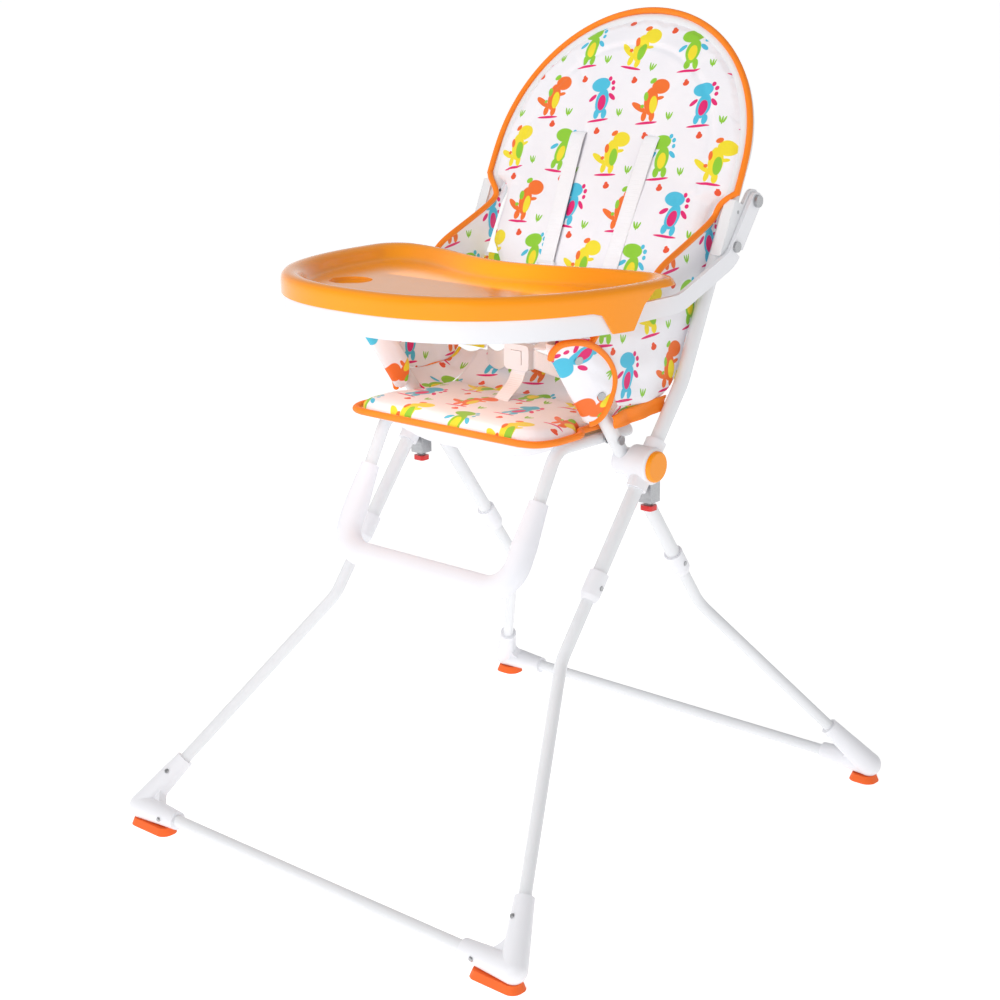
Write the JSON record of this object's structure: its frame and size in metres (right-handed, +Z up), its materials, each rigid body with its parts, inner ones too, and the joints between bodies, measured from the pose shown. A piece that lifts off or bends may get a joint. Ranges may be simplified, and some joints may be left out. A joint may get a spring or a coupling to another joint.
{
  "type": "folding high chair",
  "caption": "Folding baby high chair: splayed X-shaped tube frame, padded sling seat with harness, arched backrest, footrest and a swing-up tray.",
  "frame": {"origin": "on the floor, under the middle of the base between the front and rear floor bars", "axes": "+Z up, the chair faces -Y, +X to the left of the child"},
  "size_m": [0.714, 0.79, 1.05],
  "materials": {
    "white_paint": "glossy white powder-coated steel tube",
    "white_plastic": "smooth white moulded plastic",
    "footrest_white": "soft satin white plastic sleeve",
    "orange_plastic": "glossy orange moulded plastic",
    "orange_tread": "matte orange rubber tread",
    "red_plastic": "glossy red plastic",
    "steel": "zinc-plated steel",
    "print_fabric": "smooth coated white cloth with a bright print and orange binding",
    "plain_fabric": "plain white lining cloth",
    "webbing": "white woven webbing",
    "orange_piping": "orange bias binding on the edges of the covers",
    "board": "plain hardboard",
    "plug_grey": "dark grey moulded plastic"
  },
  "bodies": {
    "main_frame": {"back_frame": "white_paint", "front_leg_left": "white_paint", "front_leg_right": "white_paint", "front_bar": "white_paint", "front_foot_left": "white_plastic", "front_foot_right": "white_plastic", "front_foot_pads": "orange_tread", "front_foot_screws": "steel", "front_leg_sleeves": "white_plastic", "hub_housing_left": "white_plastic", "hub_housing_right": "white_plastic", "hub_caps": "orange_plastic", "hub_bolts": "steel", "lock_guides": "steel", "tray_brackets": "white_paint", "tray_bolts": "steel", "back_pad": "print_fabric", "wing_left": "print_fabric", "wing_right": "print_fabric", "shoulder_straps": "webbing", "lap_straps": "webbing", "release_spring_left": "steel", "release_spring_right": "steel"},
    "rear_frame": {"rear_tube_left": "white_paint", "rear_tube_right": "white_paint", "rear_leg_left": "white_paint", "rear_leg_right": "white_paint", "rear_bar": "white_paint", "rear_foot_left": "white_plastic", "rear_foot_right": "white_plastic", "rear_foot_pads": "orange_tread", "rear_foot_screws": "steel", "rear_leg_sleeves": "white_plastic", "inner_hubs": "white_plastic", "seat_rivets": "steel", "rear_tube_plugs": "plug_grey", "flap_left": "print_fabric", "flap_right": "print_fabric", "flap_snaps": "steel"},
    "seat_frame": {"seat_tube": "white_paint", "footrest_cover": "footrest_white", "seat_board": "board", "seat_pad": "print_fabric", "seat_sling": "plain_fabric", "crotch_strap": "webbing", "buckle": "white_plastic"},
    "buckle_button": {"buckle_button": "white_plastic"},
    "tray_arms": {"tray_base": "white_plastic", "tray_arms": "white_plastic", "arm_screws": "steel"},
    "tray_top": {"tray_top": "orange_plastic"},
    "release_left": {"release_button_left": "red_plastic", "lock_pin_left": "steel"},
    "release_right": {"release_button_right": "red_plastic", "lock_pin_right": "steel"},
    "front_snap_left": {"front_snap_button_left": "steel"},
    "front_snap_right": {"front_snap_button_right": "steel"},
    "rear_snap_left": {"rear_snap_button_left": "steel"},
    "rear_snap_right": {"rear_snap_button_right": "steel"}
  },
  "joints": [
    {"name": "fold", "type": "hinge", "parent": "main_frame", "child": "rear_frame", "pos_m": [0, 0.032, 0.507], "axis": [-1, 0, 0], "range_deg": [0, 62], "deforming": ["wing_left", "wing_right", "flap_left", "flap_right", "lap_straps"]},
    {"name": "seat_pivot", "type": "hinge", "parent": "rear_frame", "child": "seat_frame", "pos_m": [0, 0.0087, 0.53951], "axis": [1, 0, 0], "range_deg": [0, 62]},
    {"name": "tray_swing", "type": "hinge", "parent": "main_frame", "child": "tray_arms", "pos_m": [0, 0.231, 0.82], "axis": [-1, 0, 0], "range_deg": [0, 100]},
    {"name": "tray_lift", "type": "slide", "parent": "tray_arms", "child": "tray_top", "axis": [0, 0, 1], "range_m": [0, 0.06]},
    {"name": "release_left", "type": "slide", "parent": "main_frame", "child": "release_left", "axis": [0, 0, 1], "range_m": [0, 0.004], "stiffness_N_per_m": 600, "deforming": ["release_spring_left"]},
    {"name": "release_right", "type": "slide", "parent": "main_frame", "child": "release_right", "axis": [0, 0, 1], "range_m": [0, 0.004], "stiffness_N_per_m": 600, "deforming": ["release_spring_right"]},
    {"name": "front_snap_left", "type": "slide", "parent": "main_frame", "child": "front_snap_left", "axis": [-1, 0, 0], "range_m": [0, 0.0035], "stiffness_N_per_m": 500},
    {"name": "front_snap_right", "type": "slide", "parent": "main_frame", "child": "front_snap_right", "axis": [1, 0, 0], "range_m": [0, 0.0035], "stiffness_N_per_m": 500},
    {"name": "rear_snap_left", "type": "slide", "parent": "rear_frame", "child": "rear_snap_left", "axis": [-1, 0, 0], "range_m": [0, 0.0035], "stiffness_N_per_m": 500},
    {"name": "rear_snap_right", "type": "slide", "parent": "rear_frame", "child": "rear_snap_right", "axis": [1, 0, 0], "range_m": [0, 0.0035], "stiffness_N_per_m": 500},
    {"name": "buckle_press", "type": "slide", "parent": "seat_frame", "child": "buckle_button", "axis": [0, 1, 0], "range_m": [0, 0.003], "stiffness_N_per_m": 500}
  ],
  "couplings": [
    {"joint": "seat_pivot", "follows": "fold", "ratio": 1}
  ]
}
